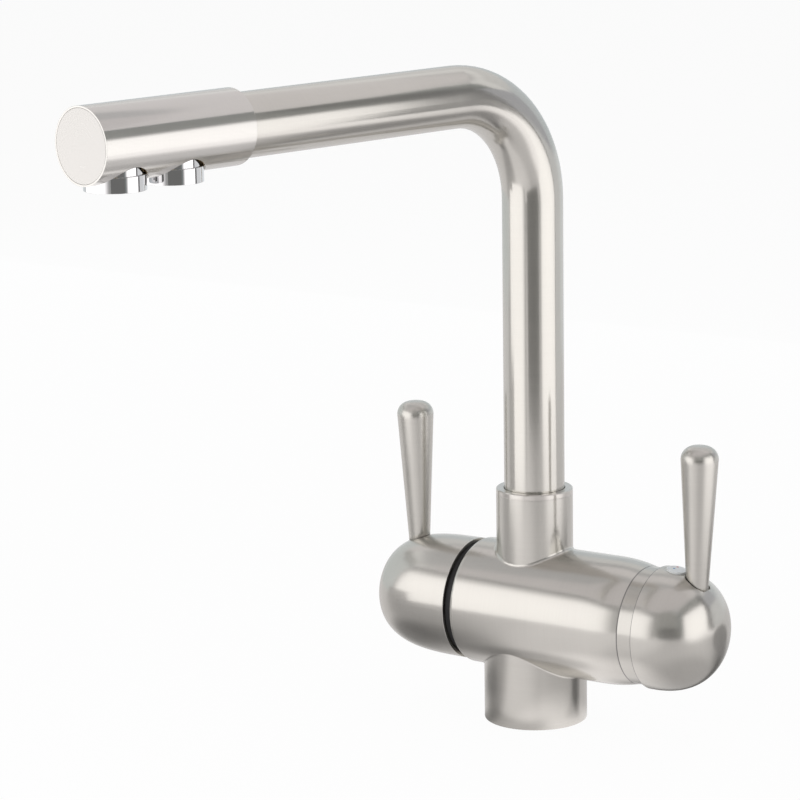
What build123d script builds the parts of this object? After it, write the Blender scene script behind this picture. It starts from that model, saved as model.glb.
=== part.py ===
from build123d import *
import os
from math import cos, pi, radians, sin

# Kitchen mixer tap with a separate filtered-water valve, in millimetres.
# +Z is up, +X points to the mixer handle, -Y is the front.
# The origin is the centre of the base, on the worktop.

# Body casting
base_d = 48.0
base_edge_r = 0.8
barrel_z = 52.8
barrel_d = 59.0
barrel_left = 29.5
barrel_right = 60.1
barrel_end_d = 54.4
barrel_round_len = 17.5
barrel_edge_r = 2.2
neck_d = 35.6
neck_top_z = 108.0
neck_fillet_r = 1.5
stem_fillet_r = 1.0

# Spout
spout_z = 296.2
spout_reach = 262.4
spout_swivel = 11.3
tube_d = 28.0
tube_wall = 1.2
bend_r = 51.0
inner_tube_d = 8.0
inner_tube_wall = 1.25

# Outlet head
head_d = 32.8
head_len = 80.9
head_wall = 2.0
head_socket = 14.0
head_rear_chamfer = 0.5
end_disc_t = 2.4
end_rim = 0.8
end_disc_chamfer = 0.15
outlet_d = 26.0
outlet_from_tip = 17.1
outlet_spacing = 30.6
outlet_drop = 3.0
outlet_hole_gap = 0.6
outlet_barrel_h = 6.5
outlet_thread_d = 24.0
outlet_thread_h = 6.5
outlet_lip = 0.9
outlet_lip_h = 1.2
outlet_bore_d = 21.8
outlet_washer_t = 1.5
outlet_washer_bore_d = 17.0
insert_plate_t = 3.0
insert_wall = 1.2
spray_hole_d = 1.7
spray_hole_pitch = 2.7
spray_hole_rings = 3
stream_hole_d = 3.4
stream_hole_pitch = 5.4
stream_hole_rings = 1
passage_d = 6.0
manifold_gap = 0.9
main_passage_rise = 8.0

# Neck, riser foot and swivel
neck_ring_t = 2.4
neck_ring_chamfer = 0.4
swivel_bore_d = 31.0
swivel_floor_z = 64.0
slip_ring_t = 2.0
slip_ring_bore_d = 22.0
foot_shoulder_z = 94.0
foot_spigot_len = 18.0
foot_bore_d = 20.0
foot_web_t = 4.0
foot_port_d = 4.4
foot_port_pcd = 14.4
foot_ports = 6
foot_seal_cord = 2.1
foot_seal_low_z = 73.5
foot_seal_high_z = 83.5
foot_groove_z = 90.0
foot_groove_w = 3.2
foot_groove_depth = 1.6
retaining_screw_d = 4.0
retaining_tip_d = 2.4
hex_socket = 2.0

# Waterways and connections under the base
chamber_d = 22.0
chamber_floor_z = 58.0
socket_floor_z = 47.0
socket_seal_cord = 1.6
socket_seal_low_z = 50.5
socket_seal_high_z = 54.5
supply_x = 8.5
supply_y = 8.0
supply_port_drop = 4.5
waterway_d = 7.0
mixed_port_rise = 9.0
filter_supply_x = -9.5
filter_waterway_d = 5.0
filter_cross_y = 8.0
filter_cross_z = 45.5
inlet_thread_d = 9.2
inlet_thread_len = 12.0
stud_hole_d = 6.8
stud_hole_len = 14.0
stud_y = 15.0
base_seal_mid_d = 42.0
base_seal_cord = 2.5

# Filter side: gap ring, quarter-turn valve and cap
gap_w = 3.6
gap_ring_setback = 2.7
gap_spigot_gap = 0.4
gap_spigot_wall = 3.0
gap_spigot_len = 3.7
valve_seat = 15.6
valve_thread_d = 20.8
valve_bore_d = 16.3
valve_seal_t = 2.0
valve_seal_bore_d = 10.0
valve_disc_t = 3.0
valve_disc_d = 15.8
valve_driver_t = 3.4
valve_driver_d = 12.4
valve_tongue_w = 3.0
valve_tongue_h = 1.5
valve_tongue_len = 9.4
valve_window_w = 8.0
valve_window_len = 3.5
valve_groove_d = 24.4
valve_groove_len = 6.0
collar_flats = 22.0
collar_t = 5.0
valve_neck_d = 17.0
valve_neck_len = 8.2
spindle_d = 10.0
spindle_seal_cord = 1.2
spindle_seal_pitch = 4.0
circlip_d = 13.0
circlip_t = 0.8
circlip_land = 0.8
spline_d = 8.0
spline_depth = 0.4
spline_teeth = 20
spline_len = 11.0
adaptor_d = 13.0
lightening_wall = 3.5
lightening_core_wall = 1.8
lightening_depth = 13.6
cap_d = 57.0
cap_len = 46.7
cap_fullness = 3.19
cap_wall = 4.1
cap_cavity_len = 24.0
cap_boss_d = 20.0
cap_screw_d = 4.0
cap_screw_len = 6.0

# Mixer side: cartridge, trim ring and dome
cartridge_depth = 27.5
cartridge_d = 35.0
cartridge_wall = 2.35
cartridge_seal_t = 1.0
cartridge_base_t = 4.0
cartridge_disc_t = 4.4
cartridge_port_d = 5.6
fixed_disc_d = 29.0
moving_disc_d = 22.0
mixing_pocket_d = 15.0
mixing_pocket_depth = 2.5
slider_t = 6.0
slider_floor = 1.0
lever_arm = 10.0
lever_ball_d = 6.0
lever_neck_d = 4.4
lever_bar = 8.0
lever_len = 19.0
rotor_flange_t = 3.6
rotor_neck_d = 21.8
rotor_slot_h = 14.0
rotor_past_pivot = 5.5
pivot_pin_d = 3.0
pivot_pin_len = 19.0
cartridge_collar_t = 1.8
nut_d = 39.8
nut_len = 8.5
nut_face_t = 3.0
nut_bore_d = 26.0
nut_key_w = 5.0
nut_key_depth = 5.0
nut_key_cut = 1.5
cartridge_neck_len = 5.0
ring_w = 7.7
ring_taper = 1.2
ring_under_dome = 1.4
ring_wall = 3.2
ring_spigot_len = 3.0
dome_over_ring = 2.5
dome_len = 30.7
dome_fullness = 2.43
dome_wall = 1.2
dome_cavity_len = 11.4
dome_boss_d = 18.0
dome_boss_from_pivot = 10.0
dome_screw_x = 14.5
dome_screw_d = 5.0
plug_x = 15.0
plug_lean = 9.0
plug_d = 9.2
plug_head_t = 1.0
plug_proud = 0.45
plug_stem_d = 6.0
plug_stem_len = 3.0
plug_face_d = 12.0
dot_d = 1.1
dot_t = 0.3
dot_x = -1.35
dot_blue_y = -0.3
dot_red_y = 2.9

# Handle sticks, both alike
stick_base_d = 10.0
stick_top_d = 17.8
stick_len = 65.7
stick_crown = 0.8
stick_top_r = 6.0
stick_stud_d = 6.0
stick_stud_len = 9.0
filter_stick_x = -64.6
filter_stick_z = 77.8
filter_stick_lean = -1.4
mixer_stick_x = 86.5
mixer_stick_z = 73.4
mixer_stick_lean = 0.9
mixer_stick_gap = 0.8

# Clearances
seat_gap = 0.03
running = 0.07
free_gap = 0.3
face_gap = 0.05
stud_gap = 0.5
joint_line = 0.12

# Sizes that follow from the ones above
barrel_r = barrel_d / 2
neck_r = neck_d / 2
tube_r = tube_d / 2
tube_bore_r = tube_r - tube_wall
inner_tube_r = inner_tube_d / 2
head_r = head_d / 2
head_bore_r = head_r - head_wall
head_rear = spout_reach - head_len
manifold_rear = head_rear + head_socket + manifold_gap
manifold_front = spout_reach - end_disc_t - seat_gap
outlet_r = outlet_d / 2
outlet_front = spout_reach - outlet_from_tip
outlet_back = outlet_front - outlet_spacing
outlet_low = spout_z - head_r - outlet_drop
outlet_step = outlet_low + outlet_barrel_h
outlet_top = outlet_step + outlet_thread_h
outlet_ceiling = outlet_top + outlet_washer_t + seat_gap
swivel_bore_r = swivel_bore_d / 2
foot_r = swivel_bore_r - running
foot_low = swivel_floor_z + slip_ring_t + face_gap
foot_top = foot_shoulder_z + foot_spigot_len
retaining_z = foot_groove_z + foot_groove_w / 2
socket_r = inner_tube_r + running
gap_face = -barrel_left
cap_rim = gap_face - gap_w
gap_ring_left = cap_rim + free_gap
gap_ring_r = barrel_r - gap_ring_setback
gap_spigot_r = cap_d / 2 - cap_wall - gap_spigot_gap
valve_seat_x = gap_face + valve_seat
valve_fixed_x = valve_seat_x - valve_seal_t
valve_moving_x = valve_fixed_x - valve_disc_t - face_gap
valve_driver_x = valve_moving_x - valve_disc_t - face_gap
valve_bore_end = valve_driver_x - valve_driver_t - free_gap
valve_collar_x = gap_ring_left - collar_t
valve_end_x = valve_collar_x - valve_neck_len
spindle_r = spindle_d / 2
circlip_right = valve_end_x - free_gap
circlip_left = circlip_right - circlip_t - 2 * seat_gap
spline_start = circlip_left - circlip_land
spline_end = spline_start - spline_len
cartridge_seat = barrel_right - cartridge_depth
cartridge_base_x = cartridge_seat + cartridge_seal_t
fixed_disc_x = cartridge_base_x + cartridge_base_t
moving_disc_x = fixed_disc_x + cartridge_disc_t + face_gap
slider_x = moving_disc_x + cartridge_disc_t
slider_end = slider_x + slider_t
ball_x = slider_x + slider_floor + free_gap + lever_ball_d / 2
pivot_x = ball_x + lever_arm
rotor_x = slider_end + free_gap + face_gap
rotor_flange_end = rotor_x + rotor_flange_t
rotor_end = pivot_x + rotor_past_pivot
cartridge_r = cartridge_d / 2
cartridge_bore_r = cartridge_r - cartridge_wall
cartridge_shoulder = rotor_flange_end + face_gap
cartridge_face = cartridge_shoulder + cartridge_collar_t
nut_start = cartridge_face + nut_face_t - nut_len
ring_spigot_r = barrel_end_d / 2 - ring_wall
ring_spigot_end = barrel_right + ring_spigot_len
ring_end_r = (barrel_end_d - ring_taper) / 2
dome_rim = barrel_right + ring_w
dome_r = (barrel_end_d + dome_over_ring) / 2
dome_cavity_end = dome_rim + dome_cavity_len


def upright(radius, low, high, x=0.0, y=0.0):
    """A round bar standing between two heights."""
    bar = Cylinder(radius, high - low, align=(Align.CENTER, Align.CENTER, Align.MIN))
    return Pos(x, y, low) * bar


def crosswise(radius, left, right, y=0.0, rise=0.0):
    """A round bar along the barrel, from one station to another."""
    bar = Cylinder(radius, right - left, align=(Align.CENTER, Align.CENTER, Align.MIN))
    return Pos(left, y, barrel_z + rise) * Rot(0, 90, 0) * bar


def outward(radius, start, end, z, x=0.0):
    """A round bar along the spout, by distance from the riser."""
    bar = Cylinder(radius, end - start, align=(Align.CENTER, Align.CENTER, Align.MIN))
    return Pos(x, -start, z) * Rot(90, 0, 0) * bar


def on_barrel(*corners):
    """A piece turned about the barrel's axis, from (station, radius) corners."""
    return Pos(0, 0, barrel_z) * revolve(make_face(Polyline(*corners, close=True)), Axis.X)


def swivelled(shape):
    """Turn a spout piece from straight ahead to where the spout stands."""
    return Rot(0, 0, -spout_swivel) * shape


def nose_points(radius, length, fullness, count=9):
    """Points of a rounded nose, from its full radius to its tip."""
    points = []
    for i in range(count):
        along = sin(radians(90 * i / (count - 1)))
        points.append((length * along, radius * max(1 - along ** fullness, 0) ** (1 / fullness)))
    return points


def nose(radius, length, fullness):
    """A domed solid that points along +X, its rim at the origin."""
    points = nose_points(radius, length, fullness)
    curve = Spline(*points, tangents=[(1, 0), (0, -1)])
    rim = Polyline(points[-1], (0, 0), points[0])
    return revolve(make_face([curve, rim]), Axis.X)


def seal_ring(mid_r, cord):
    """A rubber sealing ring about +Z."""
    return Torus(mid_r, cord / 2)


def grub_screw(thread_d, length):
    """A headless screw from the origin up along +Z. Its key is half as wide as its thread."""
    screw = upright(thread_d / 2, 0, length)
    socket = extrude(RegularPolygon(thread_d / 4, 6, major_radius=False), hex_socket)
    return screw - Pos(0, 0, length - hex_socket) * socket


def barrel_outside():
    """The barrel's outside: a cylinder, rounded in towards the mixer end."""
    edge_x = gap_face + barrel_edge_r
    round_x = barrel_right - barrel_round_len
    edge = RadiusArc((gap_face, barrel_r - barrel_edge_r), (edge_x, barrel_r), barrel_edge_r)
    side = Line((edge_x, barrel_r), (round_x, barrel_r))
    shoulder = TangentArc((round_x, barrel_r), (barrel_right, barrel_end_d / 2), tangent=(1, 0))
    end = Polyline(
        (barrel_right, barrel_end_d / 2),
        (barrel_right, ring_spigot_r),
        (ring_spigot_end, ring_spigot_r),
        (ring_spigot_end, 0),
        (gap_face, 0),
        (gap_face, barrel_r - barrel_edge_r),
    )
    return Pos(0, 0, barrel_z) * revolve(make_face([edge, side, shoulder, end]), Axis.X)


def casting_outside():
    """Barrel, base stem and neck as one solid, with the cast fillets where they meet."""
    stem = upright(base_d / 2, 0, barrel_z)
    stem = fillet(stem.edges().sort_by(Axis.Z)[0], base_edge_r)
    barrel = barrel_outside()
    with_stem = barrel + stem
    stem_joint = new_edges(barrel, stem, combined=with_stem)
    with_stem = fillet(stem_joint, stem_fillet_r)
    neck = upright(neck_r, barrel_z, neck_top_z)
    with_neck = with_stem + neck
    neck_joint = new_edges(with_stem, neck, combined=with_neck)
    return fillet(neck_joint, neck_fillet_r)


def base_cuts():
    """Holes and groove in the underside of the base."""
    inlet_r = inlet_thread_d / 2
    cuts = [upright(inlet_r, 0, inlet_thread_len, supply_x, side * supply_y) for side in (-1, 1)]
    cuts.append(upright(inlet_r, 0, inlet_thread_len, filter_supply_x))
    cuts.append(upright(stud_hole_d / 2, 0, stud_hole_len, 0, stud_y))
    groove_mid = base_seal_mid_d / 2
    groove_half = base_seal_cord / 2 + seat_gap
    groove_depth = base_seal_cord + seat_gap
    outer = upright(groove_mid + groove_half, 0, groove_depth)
    cuts.append(outer - upright(groove_mid - groove_half, 0, groove_depth))
    return cuts


def riser_cuts():
    """Swivel bore, mixed-water chamber and the filtered-water socket, all on the riser's axis."""
    cuts = [
        upright(swivel_bore_r, swivel_floor_z, neck_top_z),
        upright(chamber_d / 2, chamber_floor_z, swivel_floor_z),
        upright(socket_r, socket_floor_z, chamber_floor_z),
    ]
    seal_room = socket_seal_cord + 2 * seat_gap
    for low in (socket_seal_low_z, socket_seal_high_z):
        cuts.append(upright(socket_r + seal_room, low, low + seal_room))
    cuts.append(Pos(0, 0, retaining_z) * Rot(-90, 0, 0) * upright(retaining_screw_d / 2, 0, neck_d))
    return cuts


def mixer_cuts():
    """Cartridge bore and nut thread from the right, with the hot, cold and mixed waterways."""
    cuts = [
        crosswise(cartridge_r + seat_gap, cartridge_seat, ring_spigot_end),
        crosswise(nut_d / 2 + seat_gap, nut_start - free_gap, ring_spigot_end),
    ]
    way_r = waterway_d / 2
    for side in (-1, 1):
        cuts.append(upright(way_r, 0, barrel_z - supply_port_drop + way_r, supply_x, side * supply_y))
        cuts.append(crosswise(way_r, supply_x, cartridge_seat, side * supply_y, -supply_port_drop))
    cuts.append(crosswise(way_r, 0, cartridge_seat, 0, mixed_port_rise))
    return cuts


def filter_cuts():
    """Valve bore from the left, the cored pocket round it and the filtered waterways."""
    way_r = filter_waterway_d / 2
    pocket_end = gap_face + lightening_depth
    pocket_r = barrel_r - lightening_wall
    pocket_core_r = valve_groove_d / 2 + lightening_core_wall
    groove_mid = valve_driver_x
    half = valve_groove_len / 2
    return [
        crosswise(valve_thread_d / 2 + seat_gap, gap_face, valve_seat_x),
        crosswise(valve_groove_d / 2, groove_mid - half, groove_mid + half),
        crosswise(pocket_r, gap_face, pocket_end) - crosswise(pocket_core_r, gap_face, pocket_end),
        upright(way_r, 0, barrel_z, filter_supply_x),
        crosswise(way_r, valve_seat_x, filter_supply_x),
        crosswise(way_r, groove_mid - half, way_r, filter_cross_y, filter_cross_z - barrel_z),
        Pos(0, 0, filter_cross_z) * Rot(-90, 0, 0) * upright(way_r, 0, filter_cross_y),
        upright(way_r, filter_cross_z, socket_floor_z),
    ]


def tap_body():
    body = casting_outside()
    return body - base_cuts() - riser_cuts() - mixer_cuts() - filter_cuts()


def base_seal():
    return Pos(0, 0, base_seal_cord / 2) * seal_ring(base_seal_mid_d / 2, base_seal_cord)


def neck_ring():
    ring = upright(neck_r, neck_top_z, neck_top_z + neck_ring_t)
    ring = chamfer(ring.edges().group_by(Axis.Z)[-1], neck_ring_chamfer)
    return ring - upright(tube_r + free_gap, neck_top_z, neck_top_z + neck_ring_t)


def neck_bush():
    low = foot_shoulder_z + free_gap
    high = neck_top_z - seat_gap
    return upright(swivel_bore_r - seat_gap, low, high) - upright(tube_r + running, low, high)


def neck_slip_ring():
    top = swivel_floor_z + slip_ring_t
    ring = upright(swivel_bore_r - seat_gap, swivel_floor_z, top)
    return ring - upright(slip_ring_bore_d / 2, swivel_floor_z, top)


def neck_retaining_screw():
    tip_reach = foot_r - foot_groove_depth + free_gap
    thread_start = swivel_bore_r + seat_gap
    screw = grub_screw(retaining_screw_d - 2 * seat_gap, neck_r - thread_start - free_gap)
    tip = upright(retaining_tip_d / 2, tip_reach - thread_start, 0)
    return Pos(0, 0, retaining_z) * Rot(-90, 0, 0) * Pos(0, 0, thread_start) * (screw + tip)


def socket_seals():
    ring = seal_ring(socket_r + socket_seal_cord / 2 + seat_gap, socket_seal_cord)
    lift = socket_seal_cord / 2 + seat_gap
    return [Pos(0, 0, low + lift) * ring for low in (socket_seal_low_z, socket_seal_high_z)]


def foot_groove(low, height, depth):
    """The ring of metal that a groove takes off the riser foot."""
    return upright(swivel_bore_r, low, low + height) - upright(foot_r - depth, low, low + height)


def spout_foot():
    spigot_r = tube_bore_r - seat_gap
    foot = upright(foot_r, foot_low, foot_shoulder_z) + upright(spigot_r, foot_shoulder_z, foot_top)
    foot -= upright(foot_bore_d / 2, foot_low + foot_web_t, foot_top)
    foot -= upright(inner_tube_r + seat_gap, foot_low, foot_low + foot_web_t)
    port = upright(foot_port_d / 2, foot_low, foot_low + foot_web_t)
    foot -= PolarLocations(foot_port_pcd / 2, foot_ports) * port
    for low in (foot_seal_low_z, foot_seal_high_z):
        foot -= foot_groove(low, foot_seal_cord + 2 * seat_gap, foot_seal_cord)
    return foot - foot_groove(foot_groove_z, foot_groove_w, foot_groove_depth)


def spout_foot_seals():
    ring = seal_ring(foot_r - foot_seal_cord / 2 + seat_gap, foot_seal_cord)
    lift = foot_seal_cord / 2 + seat_gap
    return [Pos(0, 0, low + lift) * ring for low in (foot_seal_low_z, foot_seal_high_z)]


def bent_tube(outer_r, inner_r, low, end):
    """A tube that rises on the riser's axis and turns forward along the spout."""
    bend_start = spout_z - bend_r
    riser = Line((0, 0, low), (0, 0, bend_start))
    bend = TangentArc((0, 0, bend_start), (0, -bend_r, spout_z), tangent=(0, 0, 1))
    arm = Line((0, -bend_r, spout_z), (0, -end, spout_z))
    section = Plane.XY.offset(low) * (Circle(outer_r) - Circle(inner_r))
    return sweep(section, path=Wire([riser, bend, arm]))


def spout_tube():
    return bent_tube(tube_r, tube_bore_r, foot_shoulder_z + seat_gap, head_rear + head_socket)


def spout_inner_tube():
    bore_r = inner_tube_r - inner_tube_wall
    return bent_tube(inner_tube_r, bore_r, socket_floor_z + stud_gap, manifold_rear + passage_d)


def outlet_head():
    head = outward(head_r, head_rear, spout_reach, spout_z)
    rear_edge = head.edges().filter_by(GeomType.CIRCLE).sort_by(Axis.Y)[-1]
    head = chamfer(rear_edge, head_rear_chamfer)
    head -= outward(tube_r + seat_gap, head_rear, manifold_rear, spout_z)
    head -= outward(head_bore_r, head_rear + head_socket + seat_gap, spout_reach, spout_z)
    head -= outward(head_r - end_rim, spout_reach - end_disc_t, spout_reach, spout_z)
    for place in (outlet_back, outlet_front):
        head -= upright(outlet_r + outlet_hole_gap, spout_z - head_r, spout_z, 0, -place)
    return head


def end_disc():
    disc = outward(head_r - end_rim - seat_gap, spout_reach - end_disc_t + seat_gap, spout_reach, spout_z)
    return chamfer(disc.edges().group_by(Axis.Y)[0], end_disc_chamfer)


def outlet_manifold():
    way_r = passage_d / 2
    block = outward(head_bore_r - seat_gap, manifold_rear, manifold_front, spout_z)
    for place in (outlet_back, outlet_front):
        block -= upright(outlet_r + outlet_hole_gap, spout_z - head_r, outlet_step + seat_gap, 0, -place)
        block -= upright(outlet_thread_d / 2 + seat_gap, spout_z - head_r, outlet_ceiling, 0, -place)
    main_z = spout_z + main_passage_rise
    block -= outward(way_r, manifold_rear, outlet_front, main_z)
    block -= upright(way_r, outlet_ceiling, main_z, 0, -outlet_front)
    block -= outward(inner_tube_r + seat_gap, manifold_rear, manifold_rear + passage_d, spout_z)
    block -= outward(inner_tube_r - inner_tube_wall, manifold_rear, outlet_back, spout_z)
    return block - upright(inner_tube_r - inner_tube_wall, outlet_ceiling, spout_z, 0, -outlet_back)


def outlet_housing(place):
    housing = upright(outlet_r, outlet_low, outlet_step)
    housing += upright(outlet_thread_d / 2, outlet_step, outlet_top)
    housing -= upright(outlet_bore_d / 2, outlet_low + outlet_lip_h, outlet_top)
    housing -= upright(outlet_bore_d / 2 - outlet_lip, outlet_low, outlet_low + outlet_lip_h)
    return Pos(0, -place, 0) * housing


def outlet_washer(place):
    washer = upright(outlet_thread_d / 2 - seat_gap, outlet_top, outlet_top + outlet_washer_t)
    washer -= upright(outlet_washer_bore_d / 2, outlet_top, outlet_top + outlet_washer_t)
    return Pos(0, -place, 0) * washer


def outlet_insert(place, hole_d, pitch, rings):
    """A cup whose floor is a plate of round holes, set in a six-sided pattern."""
    radius = outlet_bore_d / 2 - seat_gap
    low = outlet_low + outlet_lip_h + seat_gap
    cup = upright(radius, low, outlet_top - seat_gap)
    cup -= upright(radius - insert_wall, low + insert_plate_t, outlet_top)
    cup = Pos(0, -place, 0) * cup
    for i in range(-rings, rings + 1):
        for j in range(max(-rings, -rings - i), min(rings, rings - i) + 1):
            across = (i + j / 2) * pitch
            along = j * pitch * sin(radians(60))
            cup -= upright(hole_d / 2, low, low + insert_plate_t, across, along - place)
    return cup


def filter_gap_ring():
    spigot_left = gap_ring_left - gap_spigot_len
    bore_r = valve_thread_d / 2 + seat_gap
    return on_barrel(
        (gap_face, bore_r),
        (gap_face, gap_ring_r),
        (gap_ring_left, gap_ring_r),
        (gap_ring_left, gap_spigot_r),
        (spigot_left, gap_spigot_r),
        (spigot_left, gap_spigot_r - gap_spigot_wall),
        (gap_ring_left, gap_spigot_r - gap_spigot_wall),
        (gap_ring_left, bore_r),
    )


def valve_body():
    thread_r = valve_thread_d / 2
    body = crosswise(thread_r, gap_ring_left, valve_seat_x - free_gap)
    body += crosswise(valve_neck_d / 2, valve_end_x, gap_ring_left)
    collar = extrude(RegularPolygon(collar_flats / 2, 6, major_radius=False), collar_t)
    body += Pos(valve_collar_x, 0, barrel_z) * Rot(0, 90, 0) * collar
    body -= crosswise(valve_bore_d / 2, valve_bore_end, valve_seat_x)
    body -= crosswise(spindle_r + running, valve_end_x, valve_seat_x)
    window_x = valve_driver_x - valve_window_len / 2
    window = Box(valve_window_len, 2 * thread_r, valve_window_w)
    return body - Pos(window_x, 0, barrel_z) * window


def valve_seat_seal():
    seal = crosswise(valve_bore_d / 2 - seat_gap, valve_fixed_x, valve_seat_x)
    return seal - crosswise(valve_seal_bore_d / 2, valve_fixed_x, valve_seat_x)


def half_port(left, right, upper):
    """Half of a round port, above or below the barrel's axis."""
    port_r = valve_seal_bore_d / 2
    side = 1 if upper else -1
    half = Pos((left + right) / 2, 0, barrel_z + side * port_r / 2) * Box(right - left, 2 * port_r, port_r)
    return crosswise(port_r, left, right) & half


def valve_fixed_disc():
    left = valve_fixed_x - valve_disc_t
    disc = crosswise(valve_bore_d / 2 - seat_gap, left, valve_fixed_x)
    return disc - half_port(left, valve_fixed_x, False)


def valve_moving_disc():
    left = valve_moving_x - valve_disc_t
    disc = crosswise(valve_disc_d / 2, left, valve_moving_x)
    slot_end = left + valve_tongue_h + seat_gap
    slot = Box(slot_end - left, valve_disc_d, valve_tongue_w + 2 * seat_gap)
    disc -= Pos((left + slot_end) / 2, 0, barrel_z) * slot
    return disc - half_port(left + valve_disc_t / 2, valve_moving_x, False)


def valve_spindle():
    driver_left = valve_driver_x - valve_driver_t
    spindle = crosswise(valve_driver_d / 2, driver_left, valve_driver_x)
    tongue = Box(valve_tongue_h, valve_tongue_len, valve_tongue_w)
    spindle += Pos(valve_driver_x + valve_tongue_h / 2, 0, barrel_z) * tongue
    spindle += crosswise(spindle_r, spline_start, driver_left)
    corners = []
    for i in range(2 * spline_teeth):
        radius = spline_d / 2 - spline_depth * (i % 2)
        angle = pi * i / spline_teeth
        corners.append((radius * cos(angle), radius * sin(angle)))
    spline = extrude(make_face(Polyline(*corners, close=True)), spline_len)
    spindle += Pos(spline_start, 0, barrel_z) * Rot(0, -90, 0) * spline
    for middle in spindle_seal_middles():
        left = middle - spindle_seal_cord / 2 - seat_gap
        right = middle + spindle_seal_cord / 2 + seat_gap
        spindle -= crosswise(spindle_r, left, right) - crosswise(spindle_r - spindle_seal_cord, left, right)
    clip_groove = crosswise(spindle_r, circlip_left, circlip_right)
    clip_groove -= crosswise(spindle_r - circlip_t, circlip_left, circlip_right)
    return spindle - clip_groove


def spindle_seal_middles():
    middle = valve_end_x + spindle_seal_pitch
    return (middle, middle + spindle_seal_pitch)


def valve_spindle_seals():
    ring = Rot(0, 90, 0) * seal_ring(spindle_r - spindle_seal_cord / 2 + seat_gap, spindle_seal_cord)
    return [Pos(middle, 0, barrel_z) * ring for middle in spindle_seal_middles()]


def valve_circlip():
    right = circlip_right - seat_gap
    left = right - circlip_t
    clip = crosswise(circlip_d / 2, left, right) - crosswise(spindle_r - circlip_t + seat_gap, left, right)
    mouth = Box(circlip_t, circlip_d / 2, circlip_d)
    return clip - Pos((left + right) / 2, 0, barrel_z + circlip_d / 2) * mouth


def spline_adaptor():
    right = spline_start - free_gap
    bush = crosswise(adaptor_d / 2, spline_end, right)
    return bush - crosswise(spline_d / 2 + seat_gap, spline_end, right)


def cap_outside():
    cap = nose(cap_d / 2, cap_len, cap_fullness)
    return Pos(cap_rim, 0, barrel_z) * Rot(0, 0, 180) * cap


def stick():
    """A handle stick that widens upward from its base at the origin to a rounded top."""
    top = (stick_top_d / 2, stick_len)
    outline = Polyline((0, 0), (stick_base_d / 2, 0), top, (0, stick_len + stick_crown), close=True)
    face = make_face(outline)
    face = fillet(face.vertices().sort_by(Axis.X)[-1], stick_top_r)
    return revolve(Plane.XZ * face, Axis.Z)


def filter_stick_place():
    return Pos(filter_stick_x, 0, filter_stick_z) * Rot(0, filter_stick_lean, 0)


def mixer_stick_place():
    return Pos(mixer_stick_x, 0, mixer_stick_z) * Rot(0, mixer_stick_lean, 0)


def stud(gap=0.0, end_gap=0.0):
    """The stick's stud, or with gaps round it the hole that takes it."""
    return upright(stick_stud_d / 2 + gap, -stick_stud_len - end_gap, stick_stud_d / 2)


def cap_screw_place():
    middle = (spline_start + spline_end) / 2
    return Pos(middle, 0, barrel_z) * Rot(180, 0, 0)


def filter_cap():
    bore_r = adaptor_d / 2 + seat_gap
    cavity_end = cap_rim - cap_cavity_len
    boss_right = spline_start + free_gap
    cap = cap_outside()
    cavity = crosswise(cap_d / 2 - cap_wall, cavity_end, cap_rim)
    cap -= cavity - crosswise(cap_boss_d / 2, cavity_end, boss_right)
    cap -= crosswise(bore_r, spline_end - stud_gap, boss_right)
    cap -= filter_stick_place() * stud(seat_gap, stud_gap)
    return cap - cap_screw_place() * upright(cap_screw_d / 2, 0, cap_d)


def filter_stick():
    reach_down = upright(stick_base_d / 2, -stick_base_d / 2, 0)
    rod = filter_stick_place() * (stick() + reach_down)
    rod -= Pos(0, 0, joint_line) * cap_outside()
    return rod + filter_stick_place() * stud()


def cap_screw():
    start = adaptor_d / 2 + seat_gap
    return cap_screw_place() * Pos(0, 0, start) * grub_screw(cap_screw_d - 2 * seat_gap, cap_screw_len)


def cartridge_ports(left, right):
    """The hot, cold and mixed ports through a piece of the cartridge."""
    port_r = cartridge_port_d / 2
    ports = [crosswise(port_r, left, right, side * supply_y, -supply_port_drop) for side in (-1, 1)]
    return ports + [crosswise(port_r, left, right, 0, mixed_port_rise)]


def cartridge_seal():
    right = cartridge_base_x
    seal = crosswise(cartridge_bore_r - seat_gap, cartridge_seat, right)
    return seal - cartridge_ports(cartridge_seat, right)


def cartridge_base():
    base = crosswise(cartridge_bore_r - seat_gap, cartridge_base_x, fixed_disc_x)
    return base - cartridge_ports(cartridge_base_x, fixed_disc_x)


def cartridge_fixed_disc():
    right = fixed_disc_x + cartridge_disc_t
    disc = crosswise(fixed_disc_d / 2, fixed_disc_x, right)
    return disc - cartridge_ports(fixed_disc_x, right)


def cartridge_moving_disc():
    disc = crosswise(moving_disc_d / 2, moving_disc_x, slider_x)
    return disc - crosswise(mixing_pocket_d / 2, moving_disc_x, moving_disc_x + mixing_pocket_depth)


def cartridge_slider():
    """Carries the moving disc, with a socket for the lever's ball."""
    slider = crosswise(moving_disc_d / 2, slider_x, slider_end)
    return slider - crosswise(lever_ball_d / 2 + free_gap, slider_x + slider_floor, slider_end)


def cartridge_housing():
    collar_r = nut_bore_d / 2 - free_gap
    neck_end = cartridge_face + cartridge_neck_len
    housing = crosswise(cartridge_r, cartridge_base_x, cartridge_face)
    housing += crosswise(collar_r, cartridge_face, neck_end)
    housing -= crosswise(cartridge_bore_r, cartridge_base_x, cartridge_shoulder)
    return housing - crosswise(rotor_neck_d / 2 + running, cartridge_shoulder, neck_end)


def cartridge_rotor():
    """Turns in the housing and holds the pivot pin."""
    rotor = crosswise(cartridge_bore_r - running, rotor_x, rotor_flange_end)
    rotor += crosswise(rotor_neck_d / 2, rotor_flange_end, rotor_end)
    slot = Box(rotor_end - rotor_x, lever_bar + 2 * free_gap, rotor_slot_h)
    rotor -= Pos((rotor_x + rotor_end) / 2, 0, barrel_z) * slot
    return rotor - pivot_pin(pivot_pin_d / 2 + seat_gap, rotor_neck_d)


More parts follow.
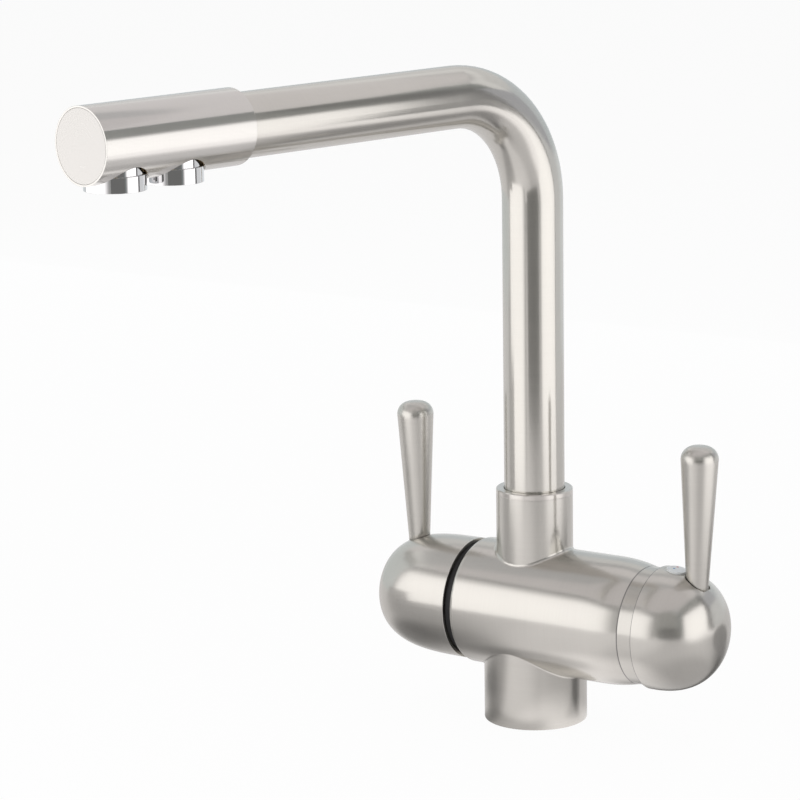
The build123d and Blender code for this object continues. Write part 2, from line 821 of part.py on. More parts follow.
def pivot_pin(radius, length):
    return Pos(pivot_x, 0, barrel_z) * Rot(90, 0, 0) * Cylinder(radius, length)


def cartridge_pin():
    return pivot_pin(pivot_pin_d / 2, pivot_pin_len)


def lever_stem():
    """From the ball in the slider, over the pivot pin, to the socket in the dome."""
    bar_start = pivot_x - lever_bar / 2
    bar_end = pivot_x + lever_len
    ball = Pos(ball_x, 0, barrel_z) * Sphere(lever_ball_d / 2)
    stem = ball + crosswise(lever_neck_d / 2, ball_x, bar_start)
    stem += Pos((bar_start + bar_end) / 2, 0, barrel_z) * Box(bar_end - bar_start, lever_bar, lever_bar)
    return stem - pivot_pin(pivot_pin_d / 2 + running, rotor_neck_d)


def cartridge_nut():
    outer = nut_d / 2
    nut = crosswise(outer, nut_start, nut_start + nut_len)
    nut -= crosswise(cartridge_r + free_gap, nut_start, cartridge_face)
    nut -= crosswise(nut_bore_d / 2, cartridge_face, nut_start + nut_len)
    end = nut_start + nut_len
    middle = (outer + outer - nut_key_depth) / 2
    key = Pos(end - nut_key_cut / 2, middle, 0) * Box(nut_key_cut, nut_key_depth, nut_key_w)
    for angle in (0, 90, 180, 270):
        nut -= Pos(0, 0, barrel_z) * Rot(angle, 0, 0) * key
    return nut


def trim_ring():
    ring_end = dome_rim + ring_under_dome
    bore_r = ring_spigot_r + seat_gap
    return on_barrel(
        (barrel_right + seat_gap, bore_r),
        (barrel_right + seat_gap, barrel_end_d / 2),
        (ring_end, ring_end_r),
        (ring_end, bore_r),
    )


def dome_outside():
    return Pos(dome_rim, 0, barrel_z) * nose(dome_r, dome_len, dome_fullness)


def dome_cavity():
    """The room inside the dome that the trim ring and cartridge need when the dome tilts."""
    rim_r = dome_r - dome_wall
    end_r = rim_r - dome_wall
    cavity = on_barrel((dome_rim, 0), (dome_rim, rim_r), (dome_cavity_end, end_r), (dome_cavity_end, 0))
    boss_start = pivot_x + dome_boss_from_pivot
    return cavity - crosswise(dome_boss_d / 2, boss_start, dome_cavity_end)


def plug_place():
    """The middle of the plug's spot face on the dome, tilted with the dome's slope."""
    station = plug_x - (dome_rim - pivot_x)
    share = station / dome_len
    rise = dome_r * (1 - share ** dome_fullness) ** (1 / dome_fullness)
    return Pos(pivot_x + plug_x, 0, barrel_z + rise - plug_head_t + plug_proud) * Rot(0, plug_lean, 0)


def dome_screw_place():
    return Pos(pivot_x + dome_screw_x, 0, barrel_z)


def mixer_dome():
    bar_end = pivot_x + lever_len + free_gap
    boss_start = pivot_x + dome_boss_from_pivot
    socket_side = lever_bar + 2 * seat_gap
    dome = dome_outside() - dome_cavity()
    socket = Box(bar_end - boss_start, socket_side, socket_side)
    dome -= Pos((boss_start + bar_end) / 2, 0, barrel_z) * socket
    recess = upright(stick_base_d / 2 + mixer_stick_gap, -seat_gap, stick_len)
    dome -= mixer_stick_place() * (recess + stud(seat_gap, stud_gap))
    dome -= plug_place() * upright(plug_face_d / 2, 0, 2 * dome_r)
    dome -= plug_place() * upright(plug_stem_d / 2 + seat_gap, -plug_stem_len - stud_gap, 0)
    return dome - dome_screw_place() * upright(dome_screw_d / 2, 0, dome_r - plug_stem_len)


def mixer_stick():
    return mixer_stick_place() * (stick() + stud())


def dome_screw():
    start = lever_bar / 2 + seat_gap
    length = dome_boss_d / 2 - start
    return dome_screw_place() * Pos(0, 0, start) * grub_screw(dome_screw_d - 2 * seat_gap, length)


def indicator_plug():
    plug = upright(plug_d / 2, seat_gap, plug_head_t)
    plug += upright(plug_stem_d / 2, -plug_stem_len, seat_gap)
    plug = plug_place() * plug
    return plug - indicator_dot(dot_blue_y, seat_gap) - indicator_dot(dot_red_y, seat_gap)


def indicator_dot(y, extra=0.0):
    """A small round inlay flush with the plug's face."""
    dot = upright(dot_d / 2 + extra, plug_head_t - dot_t - extra, plug_head_t, dot_x, y)
    return plug_place() * dot


nodes = {
    "tap_body": tap_body(),
    "base_seal": base_seal(),
    "neck_ring": neck_ring(),
    "neck_bush": neck_bush(),
    "neck_slip_ring": neck_slip_ring(),
    "neck_retaining_screw": neck_retaining_screw(),
    "filtered_socket_seals": socket_seals(),
    "spout_foot": spout_foot(),
    "spout_foot_seals": spout_foot_seals(),
    "spout_tube": swivelled(spout_tube()),
    "spout_inner_tube": swivelled(spout_inner_tube()),
    "outlet_head": swivelled(outlet_head()),
    "end_disc": swivelled(end_disc()),
    "outlet_manifold": swivelled(outlet_manifold()),
    "main_outlet_housing": swivelled(outlet_housing(outlet_front)),
    "main_outlet_insert": swivelled(
        outlet_insert(outlet_front, spray_hole_d, spray_hole_pitch, spray_hole_rings)
    ),
    "main_outlet_washer": swivelled(outlet_washer(outlet_front)),
    "filtered_outlet_housing": swivelled(outlet_housing(outlet_back)),
    "filtered_outlet_insert": swivelled(
        outlet_insert(outlet_back, stream_hole_d, stream_hole_pitch, stream_hole_rings)
    ),
    "filtered_outlet_washer": swivelled(outlet_washer(outlet_back)),
    "filter_gap_ring": filter_gap_ring(),
    "filter_valve_body": valve_body(),
    "filter_valve_seat_seal": valve_seat_seal(),
    "filter_valve_fixed_disc": valve_fixed_disc(),
    "filter_valve_moving_disc": valve_moving_disc(),
    "filter_valve_spindle": valve_spindle(),
    "filter_valve_spindle_seals": valve_spindle_seals(),
    "filter_valve_circlip": valve_circlip(),
    "filter_spline_adaptor": spline_adaptor(),
    "filter_cap": filter_cap(),
    "filter_stick": filter_stick(),
    "filter_cap_screw": cap_screw(),
    "cartridge_seal": cartridge_seal(),
    "cartridge_base": cartridge_base(),
    "cartridge_fixed_disc": cartridge_fixed_disc(),
    "cartridge_housing": cartridge_housing(),
    "cartridge_nut": cartridge_nut(),
    "trim_ring": trim_ring(),
    "cartridge_rotor": cartridge_rotor(),
    "cartridge_pin": cartridge_pin(),
    "cartridge_moving_disc": cartridge_moving_disc(),
    "cartridge_slider": cartridge_slider(),
    "lever_stem": lever_stem(),
    "mixer_dome": mixer_dome(),
    "mixer_stick": mixer_stick(),
    "mixer_dome_screw": dome_screw(),
    "indicator_plug": indicator_plug(),
    "indicator_dot_blue": indicator_dot(dot_blue_y),
    "indicator_dot_red": indicator_dot(dot_red_y),
}

os.makedirs("parts", exist_ok=True)
for name, shape in nodes.items():
    solids = shape if isinstance(shape, list) else shape.solids()
    export_step(Compound(children=list(solids)), f"parts/{name}.step")
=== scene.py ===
import math

import bpy
from mathutils import Matrix

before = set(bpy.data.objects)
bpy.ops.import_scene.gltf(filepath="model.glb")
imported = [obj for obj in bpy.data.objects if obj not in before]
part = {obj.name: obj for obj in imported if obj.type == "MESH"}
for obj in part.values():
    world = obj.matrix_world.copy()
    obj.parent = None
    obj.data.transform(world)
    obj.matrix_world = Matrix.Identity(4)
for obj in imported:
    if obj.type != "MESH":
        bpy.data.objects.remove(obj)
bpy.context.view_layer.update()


# The studio: a white sheet on the floor, a softbox close on each side, and a ceiling and walls of
# card. Bare metal looks only like what stands round it, so these give the tap its bands of light
# and dark. They are staging, and no part of the tap.

class Wire:
    """One output of a node. Sums that are written with wires become Math nodes in the same finish."""

    def __init__(self, finish, out):
        self.finish = finish
        self.out = out

    def __add__(self, other):
        return self.finish.math("ADD", self, other)

    def __sub__(self, other):
        return self.finish.math("SUBTRACT", self, other)

    def __rsub__(self, other):
        return self.finish.math("SUBTRACT", other, self)

    def __mul__(self, other):
        return self.finish.math("MULTIPLY", self, other)

    def __truediv__(self, other):
        return self.finish.math("DIVIDE", self, other)

    def __rtruediv__(self, other):
        return self.finish.math("DIVIDE", other, self)

    __radd__ = __add__
    __rmul__ = __mul__

    def __abs__(self):
        return self.finish.math("ABSOLUTE", self)

    def held(self, low=0.0, high=1.0):
        """The value kept between two limits."""
        return self.finish.math("MINIMUM", self.finish.math("MAXIMUM", self, low), high)

    def fade(self, start, end):
        """Nought before the start and one after the end, with a smooth rise between."""
        limits = {"Value": self, "From Min": start, "From Max": end}
        return self.finish.node("ShaderNodeMapRange", {"interpolation_type": "SMOOTHSTEP"}, limits)

    def parts(self):
        """The three numbers of a place."""
        apart = self.finish.node("ShaderNodeSeparateXYZ", {}, {0: self}).out.node
        return [Wire(self.finish, number) for number in apart.outputs]


class Finish:
    """The look of a surface, or of the studio's air, put together node by node."""

    def __init__(self, owner):
        owner.use_nodes = True
        self.tree = owner.node_tree
        self.tree.nodes.clear()

    def node(self, kind, settings=None, inputs=None, out=0):
        """Adds a node, with its settings first and then the values or wires of its sockets. Colours are
        written as red, green and blue."""
        made = self.tree.nodes.new(kind)
        for name, value in (settings or {}).items():
            setattr(made, name, value)
        for name, value in (inputs or {}).items():
            socket = made.inputs[name]
            if isinstance(value, Wire):
                self.tree.links.new(value.out, socket)
            else:
                socket.default_value = (*value, 1.0) if socket.type == "RGBA" else value
        return Wire(self, made.outputs[out])

    def math(self, operation, *values):
        """A Math node on one or two values."""
        return self.node("ShaderNodeMath", {"operation": operation}, dict(enumerate(values)))

    def blend(self, amount, first, second):
        """A colour between two others. A Mix node has them in sockets 6 and 7, and its own in output 2."""
        return self.node("ShaderNodeMix", {"data_type": "RGBA"}, {0: amount, 6: first, 7: second}, out=2)

    def scaled(self, vector, share):
        """A colour or a place times one number."""
        return self.node("ShaderNodeVectorMath", {"operation": "SCALE"}, {0: vector, "Scale": share})

    def place(self):
        """Where a point is on the model, in metres."""
        return self.node("ShaderNodeTexCoord", out="Object")

    def clouds(self, place, scale, detail):
        """Soft noise from nought to one. The bigger the scale, the finer it is."""
        return self.node("ShaderNodeTexNoise", {}, {"Vector": place, "Scale": scale, "Detail": detail})

    def glow(self, colour):
        """A surface that only shines. A colour of one is plain white."""
        return self.node("ShaderNodeEmission", {}, {"Color": colour, "Strength": 1.0})

    def cover(self, shader, output="ShaderNodeOutputMaterial"):
        """Puts the finished shader on the surface."""
        target = self.tree.nodes.new(output)
        self.tree.links.new(shader.out, target.inputs["Surface"])


def new_finish(name):
    """A new material, and the finish that its nodes make."""
    material = bpy.data.materials.new(name)
    return material, Finish(material)


def seen_plainly(finish):
    """The rays that show the white background: those to the lens, and those that metal and glass pass on."""
    to_lens = finish.node("ShaderNodeLightPath", out="Is Camera Ray")
    mirrored = finish.node("ShaderNodeLightPath", out="Is Glossy Ray")
    through = finish.node("ShaderNodeLightPath", out="Is Transmission Ray")
    return to_lens, (mirrored + through).held()


def panel(name, corners, material):
    """A flat sheet between four corners."""
    mesh = bpy.data.meshes.new(name)
    mesh.from_pydata(corners, [], [(0, 1, 2, 3)])
    mesh.materials.append(material)
    sheet = bpy.data.objects.new(name, mesh)
    bpy.context.scene.collection.objects.link(sheet)
    return sheet


def across(first, second):
    """How far a point is from an axis, from its two distances across that axis."""
    return first.finish.math("SQRT", first * first + second * second)


# This much is added to a distance from the tap's axis, so that nothing is divided by nought there.
axis_gap = 0.001


def toward(x, y, azimuth, core, edge, strength):
    """Strong on the side of the sheet that lies in one compass direction, and nought on the other sides.
    The core and the edge are degrees away from that direction."""
    turn = math.radians(azimuth)
    agree = (x * math.sin(turn) + y * math.cos(turn)) / (across(x, y) + axis_gap)
    return agree.fade(math.cos(math.radians(edge)), math.cos(math.radians(core))) * strength


def pool(x, y, core, edge, strength):
    """Strong round one spot of the sheet. The core and the edge are metres away from it."""
    return (1.0 - across(x, y).fade(core, edge)) * strength


# To the lens the sheet is nearly plain white, with a small share of matt paper that shows the tap's
# shadow. The metal sees painted light and painted shadow in the sheet's glow, set by place on the floor:
# brighter by the softboxes and darker where the tap keeps the light off.
paper_share_lens = 0.955
paper_share_mirror = 0.85
paper_tone = 0.74
paper_darkest, paper_brightest = 0.03, 2.0

paper_material, paper = new_finish("white_sheet")
paper_grain = paper.node("ShaderNodeTexNoise", {}, {"Scale": 300.0, "Detail": 2.0})
paper_colour = paper.blend(paper_grain, (0.96, 0.96, 0.96), (0.98, 0.98, 0.98))
paper_matt = paper.node("ShaderNodeBsdfDiffuse", {}, {"Color": paper_colour})
paper_x, paper_y = paper.place().parts()[:2]
paper_reach = across(paper_x, paper_y) + axis_gap

# Painted light in the sheet's glow on the right, in front, behind on the left and beside the stem, and
# painted shade in front on the left.
right_strength = paper_reach.fade(0.28, 0.46) * 0.78
right_light = toward(paper_x, paper_y, azimuth=84, core=14, edge=38, strength=right_strength)
left_strength = paper_reach.fade(0.15, 0.40) * 0.04 + 0.25
left_light = toward(paper_x, paper_y, azimuth=182, core=10, edge=42, strength=left_strength)
back_light = toward(paper_x, paper_y, azimuth=310, core=30, edge=75, strength=0.12)
stem_light = pool(paper_x - 0.034, paper_y + 0.016, core=0.020, edge=0.056, strength=0.56)
left_shade = toward(paper_x, paper_y, azimuth=231, core=8, edge=31, strength=0.34)

# Behind the stem and to its right a wedge of painted shade lies on the sheet, with a narrow darker
# strip of painted shade in it. Both start beside the stem, and the strip lies a little to one side of
# the wedge's middle.
shade_azimuth = 47
shade_turn = math.radians(shade_azimuth)
shade_start, strip_shift = 0.024, 0.007
from_stem = paper_x - shade_start
wedge_strength = (1.0 - paper_reach.fade(0.33, 0.44)) * 0.55
wedge_shade = toward(from_stem, paper_y, shade_azimuth, core=6, edge=24, strength=wedge_strength)
strip_along = from_stem * math.sin(shade_turn) + paper_y * math.cos(shade_turn)
strip_aside = from_stem * math.cos(shade_turn) - paper_y * math.sin(shade_turn) - strip_shift
strip_strength = strip_along.fade(0.0, 0.02) * (1.0 - strip_along.fade(0.08, 0.14)) * 0.50
strip_shade = (1.0 - abs(strip_aside).fade(0.004, 0.016)) * strip_strength

# Close under the cap, the barrel and the dome the sheet has painted shade, darker still. The barrel's
# painted shade is longer than it is wide, so a distance along the barrel counts for less there.
barrel_squeeze = 0.4
shade_under_cap = pool(paper_x + 0.085, paper_y + 0.026, core=0.012, edge=0.058, strength=0.72)
along_barrel = (paper_x + 0.008) * barrel_squeeze
shade_under_barrel = pool(along_barrel, paper_y + 0.028, core=0.006, edge=0.019, strength=0.50)
shade_under_dome = pool(paper_x - 0.105, paper_y, core=0.035, edge=0.085, strength=0.26)
# The glow that the metal sees: the painted light less the painted shade, then dimmed by the painted shade
# under the cap, the barrel and the dome.
paper_light = right_light + left_light + back_light + stem_light + paper_tone
paper_level = (paper_light - left_shade - wedge_shade - strip_shade).held(paper_darkest, paper_brightest)
paper_level = paper_level * (1.0 - shade_under_cap) * (1.0 - shade_under_barrel) * (1.0 - shade_under_dome)

to_lens, in_mirror = seen_plainly(paper)
paper_tint = paper.blend(to_lens, (1.0, 0.978, 0.985), (1.0, 1.0, 1.0))
paper_glow = paper.glow(paper.scaled(paper_tint, to_lens + (1.0 - to_lens) * paper_level))
paper_share = to_lens * paper_share_lens + in_mirror * paper_share_mirror
paper.cover(paper.node("ShaderNodeMixShader", {}, {0: paper_share, 1: paper_matt, 2: paper_glow}))
panel("floor_sheet", [(-7, -7, 0), (7, -7, 0), (7, 7, 0), (-7, 7, 0)], paper_material)

# The air is plain white to the lens and in the metal, and lights the set only a little.
air_light = 0.10
world = bpy.data.worlds.new("studio_air")
bpy.context.scene.world = world
air = Finish(world)
to_lens, in_mirror = seen_plainly(air)
air_strength = (to_lens + in_mirror) * (1.0 - air_light) + air_light
white_air = air.node("ShaderNodeBackground", {}, {"Color": (1.0, 1.0, 1.0), "Strength": air_strength})
air.cover(white_air, "ShaderNodeOutputWorld")


def hidden_panel(name, corners, material):
    """A sheet that the lens doesn't see, but the metal does."""
    sheet = panel(name, corners, material)
    sheet.visible_camera = False


def card(name, corners, shade):
    """A sheet of card round the set, in one plain tone."""
    material, skin = new_finish(name + "_sheet")
    skin.cover(skin.glow(shade))
    hidden_panel(name, corners, material)


def upright(start, end, low, high):
    """The corners of a card that stands between two places on the floor, from one height to another."""
    return [(*start, low), (*end, low), (*end, high), (*start, high)]


def overhead(height, *places):
    """The corners of a card that hangs level over places on the floor."""
    return [(*place, height) for place in places]


def around(azimuth, distance):
    """A place on the floor, by compass: 0 is behind the tap, 90 on its right, 180 in front."""
    turn = math.radians(azimuth)
    return distance * math.sin(turn), distance * math.cos(turn)


# The big pale cards give the metal its light bands. The far ones give the greys between them, and the
# small dark ones the dark lines.
front_ceiling = overhead(0.76, (-1.3, -0.80), (0.05, -0.80), (0.54, -0.40), (0.54, 0.36))
back_ceiling = overhead(0.755, (-1.3, 0.14), (0.54, 0.14), (0.54, 0.40), (-1.3, 0.40))
card("ceiling", front_ceiling, (0.72, 0.69, 0.70))
card("back_wall", upright((-1.3, 0.9), (0.5, 0.9), low=0.24, high=0.66), (0.66, 0.71, 0.74))
card("back_top", upright((-1.3, 0.9), (0.5, 0.9), low=0.66, high=1.0), (0.80, 0.80, 0.80))
card("ceiling_back", back_ceiling, (0.86, 0.83, 0.84))
card("back_sheet", upright((-1.3, 0.88), (0.5, 0.88), low=0.0, high=0.25), (0.86, 0.89, 0.91))
card("left_wall", upright((-1.1, -0.5), (-1.1, 0.9), low=0.0, high=1.0), (0.74, 0.78, 0.79))
card("far_right", upright((1.5, -1.5), (1.5, 1.6), low=0.0, high=1.8), (0.24, 0.26, 0.255))
card("far_front", upright((-1.5, -1.45), (1.5, -1.45), low=0.0, high=1.8), (0.40, 0.40, 0.39))
card("far_above", overhead(1.8, (-1.5, -1.5), (1.5, -1.5), (1.5, 1.6), (-1.5, 1.6)), (0.55, 0.55, 0.56))
card("lens_screen", upright(around(126, 0.70), around(168, 0.70), low=0.0, high=0.24), (0.18, 0.18, 0.175))
card("right_flag", upright((0.60, 0.306), (0.57, 0.42), low=0.0, high=0.75), (0.10, 0.10, 0.10))
card("right_head", upright((0.60, -0.36), (0.60, 0.305), low=0.50, high=0.75), (0.28, 0.29, 0.28))
card("right_corner", upright((0.57, 0.42), (0.30, 0.70), low=0.24, high=0.55), (0.50, 0.51, 0.55))
card("right_sheet", upright((0.56, 0.42), (0.30, 0.69), low=0.0, high=0.25), (0.78, 0.79, 0.80))


def softbox(name, start, end, high, soft_start, soft_end, soft_top, level):
    """The lit cloth of a softbox that stands on the floor. It is duller over a soft width along its two
    sides and its top. A level of one is plain white."""
    edge_share = 0.28
    material, cloth = new_finish(name + "_cloth")
    x, y, z = cloth.place().parts()
    (start_x, start_y), (end_x, end_y) = start, end
    length = math.hypot(end_x - start_x, end_y - start_y)
    along = (x - start_x) * ((end_x - start_x) / length) + (y - start_y) * ((end_y - start_y) / length)
    share = along.fade(0.0, soft_start) * (length - along).fade(0.0, soft_end)
    share = share * (high - z).fade(0.0, soft_top)
    light = (share * (1.0 - edge_share) + edge_share) * level
    cloth.cover(cloth.glow(cloth.scaled((1.0, 0.985, 0.985), light)))
    hidden_panel(name, upright(start, end, 0.0, high), material)


left_soft = {"soft_start": 0.10, "soft_end": 0.16, "soft_top": 0.13}
right_soft = {"soft_start": 0.12, "soft_end": 0.01, "soft_top": 0.10}
softbox("left_softbox", around(246, 0.54), around(174, 0.56), high=0.44, level=1.58, **left_soft)
card("left_flag", upright(around(252, 0.50), around(227, 0.44), low=0.0, high=0.085), (0.50, 0.49, 0.49))
softbox("right_softbox", (0.60, -0.36), (0.60, 0.305), high=0.50, level=1.62, **right_soft)
card("left_wall_head", upright(around(249, 0.55), around(286, 0.66), low=0.45, high=0.57), (0.44, 0.44, 0.43))
left_frame = upright(around(249, 0.55), around(176, 0.57), low=0.44, high=0.475)
card("left_softbox_frame", left_frame, (0.20, 0.20, 0.20))

# The camera stands where the photograph's did, worked out from the outlines of the round pieces.
lens_place = (0.82898885, -1.31839652, 0.47670195)
lens_turn, lens_dip, lens_roll = 34.43042, 11.771137, -0.847549
camera = bpy.data.cameras.new("camera")
camera.sensor_width = 36.0
camera.lens = 155.244
camera.clip_start = 0.05
camera.clip_end = 30.0
tripod = bpy.data.objects.new("camera", camera)
tripod.matrix_world = (
    Matrix.Translation(lens_place)
    @ Matrix.Rotation(math.radians(lens_turn), 4, "Z")
    @ Matrix.Rotation(math.radians(90.0 - lens_dip), 4, "X")
    @ Matrix.Rotation(math.radians(lens_roll), 4, "Z")
)
bpy.context.scene.collection.objects.link(tripod)
bpy.context.scene.camera = tripod
bpy.context.scene.view_settings.view_transform = "Standard"


# The tap body: one brass casting, a lying barrel with an upright neck and a foot, ground on a belt
# and plated with satin nickel. The trim ring is turned from bar and plated the same way.

barrel_height = 0.0528
barrel_radius = 0.0295
barrel_joint, ring_joint = 0.0601, 0.0678
nickel_light = (0.660, 0.642, 0.600)
nickel_dark = (0.600, 0.583, 0.545)
nickel_rubbed = (0.78, 0.76, 0.73)
# The colour of the thin dark line in each joint.
joint_line_colour = (0.34, 0.33, 0.32)


def dress(node_name, material):
    """Gives a CAD node its real finish."""
    for slot in part[node_name].material_slots:
        slot.material = material


def round_barrel(place):
    """Where a point is along the barrel, from its middle outward to the poles of the rounded ends."""
    x, y, z = place.parts()
    return abs(x) - across(y, z - barrel_height)


def round_neck(place):
    """Where a point is up the neck and foot, and inward over their flat faces."""
    x, y, z = place.parts()
    return z - across(x, y)


def barrel_or_neck(place):
    """Grain round the barrel on the barrel, and round the upright on the neck and foot."""
    y, z = place.parts()[1:]
    clear_of_barrel = barrel_radius + 0.0003
    on_neck = place.finish.math("GREATER_THAN", across(y, z - barrel_height), clear_of_barrel)
    return round_barrel(place) * (1.0 - on_neck) + round_neck(place) * on_neck


def satin_nickel(
    name, along, light, dark, matt, line_gap=0.0005, line_depth=0.000006, corner=0.0004, joints=()
):
    """Nickel plate over ground brass: fine lines run round the piece, corners are rubbed smoother and
    brighter, and a thin dark line runs in each joint across the barrel. A ground plate shines crisply
    with a haze round it, so a crisp and a hazier surface are mixed."""
    haze_share, haze_extra = 0.30, 0.30
    line_share, cloud_share, contrast = 0.55, 0.45, 2.2
    material, nickel = new_finish(name)
    place = nickel.place()
    line_looks = {"Scale": 1.0, "Detail": 3.0, "Roughness": 0.6}
    line_place = {"Vector": nickel.scaled(place, 55.0), "W": along(place) * (1.0 / line_gap)}
    lines = nickel.node("ShaderNodeTexNoise", {"noise_dimensions": "4D"}, line_place | line_looks)
    clouds = nickel.clouds(place, scale=38.0, detail=3.0)
    eased = nickel.node("ShaderNodeBevel", {"samples": 6}, {"Radius": corner})
    true_face = nickel.node("ShaderNodeNewGeometry", out="Normal")
    faces = {0: eased, 1: true_face}
    agree = nickel.node("ShaderNodeVectorMath", {"operation": "DOT_PRODUCT"}, faces, out="Value")
    rubbed = ((1.0 - agree) * 9.0).held()
    tone = (lines * line_share + clouds * cloud_share - 0.5) * contrast + 0.5
    plated = nickel.blend(tone.held(), dark, light)
    colour = nickel.blend(rubbed * 0.3, plated, nickel_rubbed)
    x = place.parts()[0]
    for joint in joints:
        in_joint = 1.0 - abs(x - joint).fade(0.00018, 0.00040)
        colour = nickel.blend(in_joint, colour, joint_line_colour)
    rough = ((lines - 0.5) * 0.10 + (clouds - 0.5) * 0.07 + matt - rubbed * 0.04).held(0.05, 0.6)
    bump = {"Strength": 1.0, "Distance": line_depth, "Height": lines, "Normal": eased}
    metal = {"Base Color": colour, "Metallic": 1.0, "Normal": nickel.node("ShaderNodeBump", {}, bump)}
    crisp = nickel.node("ShaderNodeBsdfPrincipled", {}, metal | {"Roughness": rough})
    hazy = nickel.node("ShaderNodeBsdfPrincipled", {}, metal | {"Roughness": rough + haze_extra})
    nickel.cover(nickel.node("ShaderNodeMixShader", {}, {0: haze_share, 1: crisp, 2: hazy}))
    return material


body_skin = {"matt": 0.17, "joints": [barrel_joint]}
dress("tap_body", satin_nickel("satin_nickel_body", barrel_or_neck, nickel_light, nickel_dark, **body_skin))
ring_light, ring_dark = (0.620, 0.603, 0.563), (0.565, 0.549, 0.513)
ring_skin = {"matt": 0.17, "joints": [barrel_joint, ring_joint]}
dress("trim_ring", satin_nickel("satin_nickel_ring", round_barrel, ring_light, ring_dark, **ring_skin))


# The ring at the top of the neck: a thin washer turned from bar and polished, which the spout
# slides into. It is brighter and smoother than the ground plate round it.

polish_light, polish_dark = (0.70, 0.672, 0.634), (0.66, 0.634, 0.597)
polish_skin = {"matt": 0.12, "line_gap": 0.0004, "line_depth": 0.000001, "corner": 0.0002}
dress("neck_ring", satin_nickel("polished_nickel_ring", round_neck, polish_light, polish_dark, **polish_skin))


# The spout: a drawn brass tube bent through a right angle, ground and plated with satin nickel,
# with a thicker turned sleeve, the head, pushed over its end and closed by a flat disc.

spout_height = 0.2962
bend_radius = 0.0510
bend_height = spout_height - bend_radius
spout_heading = math.radians(11.3)
spout_way = (-math.sin(spout_heading), -math.cos(spout_heading))


def along_spout(place):
    """Length along the tube's centre line: up the riser, round the bend and out to the head."""
    x, y, z = place.parts()
    out = x * spout_way[0] + y * spout_way[1]
    swing = place.finish.math("ARCTAN2", z - bend_height, bend_radius - out).held(0.0, math.pi / 2)
    riser = place.finish.math("MINIMUM", z, bend_height)
    return riser + swing * bend_radius + (out - bend_radius).held(0.0, 1.0)


def round_spout_end(place):
    """Length along the spout less the distance out from its axis, for the flat disc that closes it."""
    x, y, z = place.parts()
    aside = x * spout_way[1] - y * spout_way[0]
    return x * spout_way[0] + y * spout_way[1] - across(aside, z - spout_height)


dress("spout_tube", satin_nickel("satin_nickel_spout", along_spout, nickel_light, nickel_dark, matt=0.14))
head_light, head_dark = (0.695, 0.680, 0.650), (0.650, 0.635, 0.607)
head_skin = {"matt": 0.11, "corner": 0.0002}
dress("outlet_head", satin_nickel("satin_nickel_head", along_spout, head_light, head_dark, **head_skin))
disc_light, disc_dark = (0.600, 0.587, 0.565), (0.580, 0.567, 0.546)
disc_skin = {"matt": 0.26, "line_gap": 0.0002, "line_depth": 0.000001, "corner": 0.0001}
dress("end_disc", satin_nickel("satin_nickel_disc", round_spout_end, disc_light, disc_dark, **disc_skin))


# The two outlets: short turned cups under the head, chromed bright, each with a moulded insert
# that breaks the stream. The outer one gives mixed water and the inner one filtered water.

chrome_material, chrome = new_finish("bright_chrome")
chrome_haze = chrome.clouds(chrome.place(), scale=260.0, detail=3.0)
chrome_look = {
    "Base Color": chrome.blend(chrome_haze, (0.70, 0.70, 0.71), (0.78, 0.77, 0.77)),
    "Metallic": 1.0,
    "Roughness": ((chrome_haze - 0.5) * 0.05 + 0.045).held(0.02, 0.2),
    "Normal": chrome.node("ShaderNodeBevel", {"samples": 6}, {"Radius": 0.0003}),
}
chrome.cover(chrome.node("ShaderNodeBsdfPrincipled", {}, chrome_look))
dress("main_outlet_housing", chrome_material)
dress("filtered_outlet_housing", chrome_material)


def moulded(name, light, dark, rough, pores=1500.0, depth=0.00001):
    """A moulded or pressed piece: a fine even skin, a little uneven in colour and shine."""
    material, skin = new_finish(name)
    place = skin.place()
    fine = skin.clouds(place, scale=pores, detail=2.0)
    clouds = skin.clouds(place, scale=90.0, detail=2.0)
    colour = skin.blend((fine * 0.4 + clouds * 0.6).held(), dark, light)
    shine = ((clouds - 0.5) * 0.16 + (fine - 0.5) * 0.1 + rough).held(0.05, 0.95)
    bumps = skin.node("ShaderNodeBump", {}, {"Strength": 0.6, "Distance": depth, "Height": fine})
    look = {"Base Color": colour, "Roughness": shine, "Normal": bumps}
    skin.cover(skin.node("ShaderNodeBsdfPrincipled", {}, look))
    return material


outlet_plastic = moulded("outlet_insert_plastic", (0.80, 0.81, 0.82), (0.72, 0.73, 0.75), rough=0.38)
dress("main_outlet_insert", outlet_plastic)
dress("filtered_outlet_insert", outlet_plastic)


# The filtered water handle: a hollow turned cap on the left of the barrel with a tapered stick
# screwed into it. A black ring fills the gap behind it, so that the cap can turn freely.

def up_stick(place):
    """Height on the two handle sticks, so that their lines run round them."""
    return place.parts()[2]


dress("filter_cap", satin_nickel("satin_nickel_cap", round_barrel, nickel_light, nickel_dark, matt=0.18))
stick_skin = {"matt": 0.20, "corner": 0.003}
stick_nickel = satin_nickel("satin_nickel_stick", up_stick, nickel_light, nickel_dark, **stick_skin)
dress("filter_stick", stick_nickel)
gap_black = moulded("gap_ring_black", (0.010, 0.010, 0.011), (0.005, 0.005, 0.006), rough=0.55)
dress("filter_gap_ring", gap_black)


# The mixer handle: a hollow turned dome on the right of the barrel, which tips and turns with its
# stick on the cartridge behind it. A round plug with a blue and a red dot closes its screw hole.

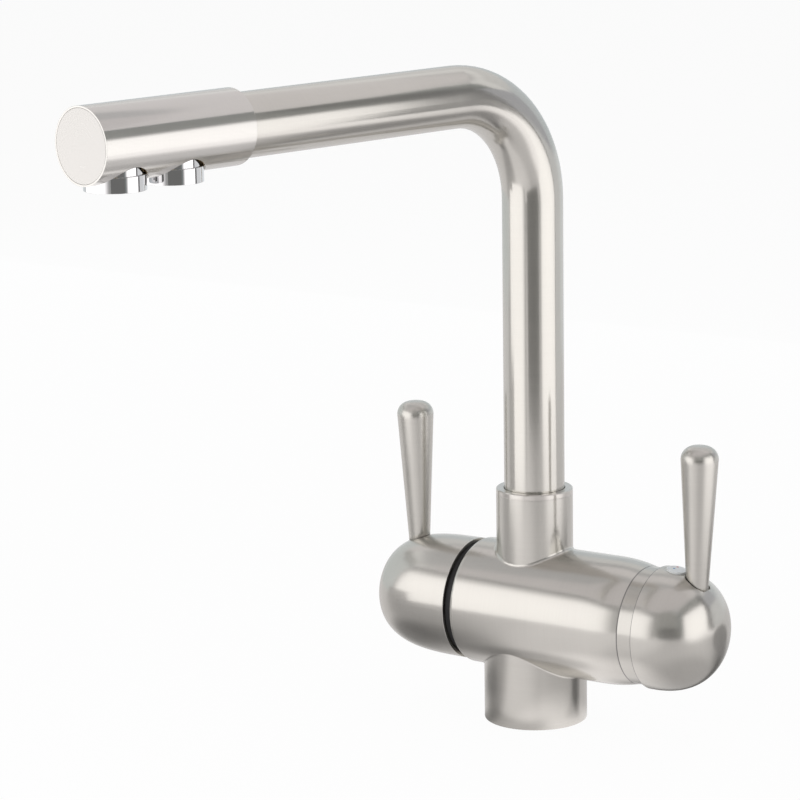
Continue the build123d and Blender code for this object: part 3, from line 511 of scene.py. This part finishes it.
dome_skin = {"matt": 0.19, "joints": [ring_joint]}
dress("mixer_dome", satin_nickel("satin_nickel_dome", round_barrel, nickel_light, nickel_dark, **dome_skin))
dress("mixer_stick", stick_nickel)
plug_skin = {"rough": 0.14, "depth": 0.000002}
dress("indicator_plug", moulded("plug_white", (0.93, 0.96, 0.97), (0.89, 0.93, 0.94), **plug_skin))
dot_skin = {"rough": 0.35, "depth": 0.000004}
dress("indicator_dot_blue", moulded("dot_blue", (0.02, 0.27, 0.62), (0.01, 0.20, 0.50), **dot_skin))
dress("indicator_dot_red", moulded("dot_red", (0.62, 0.10, 0.08), (0.50, 0.06, 0.05), **dot_skin))


# The works inside: machined brass carriers and valve, steel screws, rubber seals, ceramic discs
# and moulded cartridge pieces. They show only when a handle or the spout is moved or taken off.

def machined(name, light, dark, rough):
    """Bare turned or drilled metal with its tool marks."""
    material, metal = new_finish(name)
    place = metal.place()
    marks = metal.clouds(place, scale=900.0, detail=3.0)
    stains = metal.clouds(place, scale=70.0, detail=2.0)
    colour = metal.blend((marks * 0.5 + stains * 0.5).held(), dark, light)
    shine = ((marks - 0.5) * 0.2 + (stains - 0.5) * 0.15 + rough).held(0.05, 0.9)
    cut = metal.node("ShaderNodeBump", {}, {"Strength": 0.5, "Distance": 0.00001, "Height": marks})
    look = {"Base Color": colour, "Metallic": 1.0, "Roughness": shine, "Normal": cut}
    metal.cover(metal.node("ShaderNodeBsdfPrincipled", {}, look))
    return material


brass = machined("machined_brass", (0.80, 0.62, 0.34), (0.68, 0.50, 0.26), rough=0.33)
steel = machined("machined_steel", (0.60, 0.59, 0.58), (0.48, 0.47, 0.46), rough=0.35)
rubber = moulded("seal_rubber", (0.030, 0.030, 0.031), (0.018, 0.018, 0.019), rough=0.60)
ceramic = moulded("disc_ceramic", (0.84, 0.82, 0.78), (0.76, 0.74, 0.70), rough=0.22)
cartridge_plastic = moulded("cartridge_plastic", (0.32, 0.33, 0.35), (0.25, 0.26, 0.28), rough=0.42)
bearing_plastic = moulded("bearing_plastic", (0.74, 0.73, 0.69), (0.64, 0.63, 0.59), rough=0.45)
tube_plastic = moulded("tube_plastic", (0.70, 0.71, 0.72), (0.60, 0.61, 0.62), rough=0.40)
works = [
    (brass, ["spout_foot", "outlet_manifold", "filter_valve_body", "filter_valve_spindle", "cartridge_nut"]),
    (steel, ["neck_retaining_screw", "filter_valve_circlip", "filter_cap_screw", "mixer_dome_screw"]),
    (steel, ["cartridge_pin", "lever_stem"]),
    (rubber, ["base_seal", "cartridge_seal", "filter_valve_seat_seal", "filter_valve_spindle_seals"]),
    (rubber, ["spout_foot_seals", "filtered_socket_seals", "filtered_outlet_washer", "main_outlet_washer"]),
    (ceramic, ["cartridge_fixed_disc", "cartridge_moving_disc", "filter_valve_fixed_disc"]),
    (ceramic, ["filter_valve_moving_disc"]),
    (cartridge_plastic, ["cartridge_base", "cartridge_housing", "cartridge_rotor", "cartridge_slider"]),
    (bearing_plastic, ["neck_bush", "neck_slip_ring", "filter_spline_adaptor"]),
    (tube_plastic, ["spout_inner_tube"]),
]
for material, node_names in works:
    for node_name in node_names:
        dress(node_name, material)
